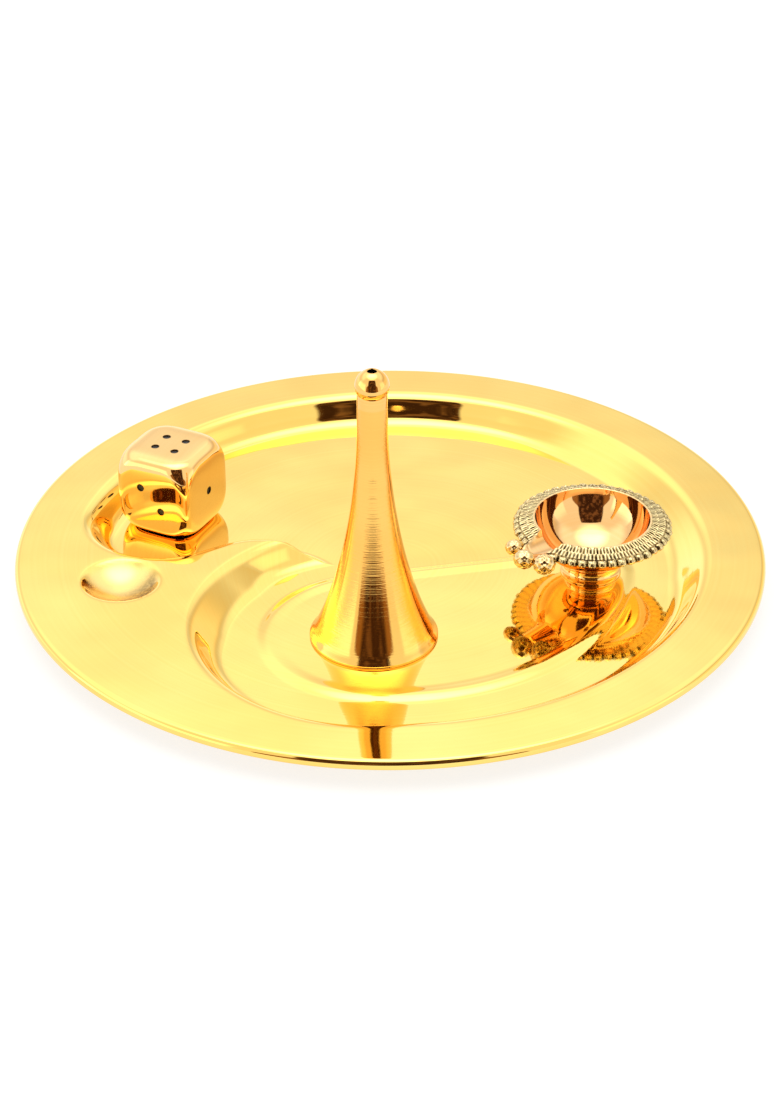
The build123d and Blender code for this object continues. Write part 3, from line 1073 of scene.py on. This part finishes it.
OPENING_SHELVES = (0.21, 0.1, 0.045)
OPENING_SIDES = (0.32, 0.15, 0.045)
WHITE = (1.0, 1.0, 1.0)
FRONT_CREAM = (1.0, 0.97, 0.85)
GAP_CREAM = (1.0, 0.87, 0.64)


def studio_floor():
    """A wide white table top just below the plate, which ends a little in front of it."""
    side, front = FLOOR_SIDE, FLOOR_FRONT
    corners = [(-side, front, 0), (side, front, 0), (side, side, 0), (-side, side, 0)]
    mesh = bpy.data.meshes.new("floor")
    mesh.from_pydata(corners, [], [(0, 1, 2, 3)])
    floor = bpy.data.objects.new("floor", mesh)
    floor.location.z = cad_low.z - FLOOR_GAP
    bpy.context.scene.collection.objects.link(floor)
    material, nodes = new_material("floor_white")
    cloud = nodes.noise(nodes.add("TexCoord").outputs["Object"], 3.0)
    colour = nodes.mix(nodes.ramp(cloud, 0.3, 0.7), (0.28, 0.28, 0.28), (0.3, 0.3, 0.3))
    matt = nodes.add("BsdfDiffuse", {"Color": colour, "Roughness": 0.5}).outputs[0]
    path = nodes.add("LightPath").outputs
    seen = nodes.math("MAXIMUM", path["Is Camera Ray"], path["Is Glossy Ray"])
    strength = nodes.math("MULTIPLY", seen, FLOOR_GLOW)
    glow = nodes.add("Emission", {"Strength": strength}).outputs[0]
    nodes.add("OutputMaterial", {0: nodes.add("AddShader", {0: matt, 1: glow}).outputs[0]})
    mesh.materials.append(material)


def room_level(nodes, x, y, z, toward, front):
    """How bright the room is in a direction: the walls, the light boxes and the panel overhead.

    Also how far the direction lies in the gap beyond the right box, which is cream.
    """
    around = nodes.math("MULTIPLY", nodes.math("ARCTAN2", x, toward), 180 / math.pi)
    low = nodes.ramp(z, *LOW_FADE)
    left_box, right_box = nodes.within(around, *LEFT_BOX), nodes.within(around, *RIGHT_BOX)
    boxes = nodes.blend(left_box, right_box, LEFT_BOX_GAIN, RIGHT_BOX_GAIN)
    gap = nodes.math("MULTIPLY", nodes.within(around, *GAP_BEARING), low)
    behind = nodes.math("ADD", nodes.ramp(z, *BEHIND_RISE), nodes.ramp(z, *BEHIND_FOOT))
    behind = nodes.math("SUBTRACT", behind, nodes.ramp(x, *BEHIND_RIGHT))
    change = nodes.math("MULTIPLY", front, nodes.math("SUBTRACT", FRONT_LEVEL, behind))
    level = nodes.math("ADD", behind, change)
    sides = nodes.math("ADD", 1.0, nodes.math("MULTIPLY", low, boxes))
    level = nodes.math("MULTIPLY", level, sides)
    above = nodes.math("MAXIMUM", z, NEAR_ZERO)
    over_x = nodes.math("DIVIDE", x, above)
    over_y = nodes.math("SUBTRACT", nodes.math("DIVIDE", y, above), PANEL_SHIFT)
    from_panel = nodes.length(nodes.add("CombineXYZ", {0: over_x, 1: over_y}).outputs[0])
    panel = nodes.ramp(from_panel, *PANEL_REACH, PANEL_LEVEL, 0.0)
    return nodes.math("ADD", level, panel), gap


def room_colour(nodes, direction, toward, front, gap):
    """The room's colour in a direction: pale walls, and dark shelves behind the camera."""
    x, y, z = nodes.add("SeparateXYZ", {0: direction}).outputs
    rise = nodes.math("DIVIDE", z, nodes.math("MAXIMUM", toward, NEAR_ZERO))
    narrowing = nodes.ramp(rise, *OPENING_NARROWING)
    half_width = nodes.math("SUBTRACT", nodes.ramp(rise, *OPENING_WIDTH), narrowing)
    upright = nodes.length(nodes.add("CombineXYZ", {0: y, 1: z}).outputs[0])
    upright = nodes.math("MAXIMUM", upright, NEAR_ZERO)
    sideways = nodes.math("DIVIDE", nodes.math("ABSOLUTE", x), upright)
    outside = nodes.math("SUBTRACT", sideways, half_width)
    inside = nodes.ramp(outside, *OPENING_EDGE)
    opening = nodes.math("MULTIPLY", inside, nodes.within(rise, *OPENING_RISE))
    shelves = nodes.ramp(nodes.noise(direction, SHELF_SCALE, 4.0), *SHELF_RANGE)
    dark = nodes.mix(shelves, OPENING_DARK, OPENING_SHELVES)
    dark = nodes.mix(nodes.ramp(sideways, *OPENING_SIDE_FADE), dark, OPENING_SIDES)
    pale = nodes.mix(gap, nodes.mix(front, WHITE, FRONT_CREAM), GAP_CREAM)
    return nodes.mix(opening, pale, dark)


def white_room():
    """Light from all round, with a plain white background for the camera."""
    world = bpy.data.worlds.new("room")
    bpy.context.scene.world = world
    world.use_nodes = True
    nodes = Nodes(world.node_tree)
    direction = nodes.add("TexCoord").outputs["Generated"]
    x, y, z = nodes.add("SeparateXYZ", {0: direction}).outputs
    toward = nodes.math("MULTIPLY", y, -1.0)
    front = nodes.ramp(y, *FRONT_FADE)
    level, gap = room_level(nodes, x, y, z, toward, front)
    colour = room_colour(nodes, direction, toward, front, gap)
    room = nodes.add("Background", {"Color": colour, "Strength": level}).outputs[0]
    white = nodes.add("Background", {"Color": (*WHITE, 1), "Strength": 1.0}).outputs[0]
    seen = nodes.add("LightPath").outputs["Is Camera Ray"]
    shown = nodes.add("MixShader", {0: seen, 1: room, 2: white}).outputs[0]
    nodes.add("OutputWorld", {0: shown})


def camera():
    """The photo's camera: its distance, height, tilt and framing, from the plate's ellipse."""
    distance, elevation, roll = 0.875, math.radians(31.317), math.radians(-0.2)
    back = Vector((0, -math.cos(elevation), math.sin(elevation)))
    data = bpy.data.cameras.new("camera")
    data.sensor_width = 36.0
    data.lens = 84.86
    data.shift_x = -0.0002
    data.shift_y = -0.0113
    eye = bpy.data.objects.new("camera", data)
    bpy.context.scene.collection.objects.link(eye)
    eye.rotation_mode = "QUATERNION"
    turn = (-back).to_track_quat("-Z", "Y").to_matrix() @ Matrix.Rotation(roll, 3, "Z")
    eye.rotation_quaternion = turn.to_quaternion()
    eye.location = Vector((0, 0, rim_level / MM_PER_M)) + back * distance
    bpy.context.scene.camera = eye


studio_floor()
white_room()
camera()
bpy.context.scene.view_settings.view_transform = "Standard"
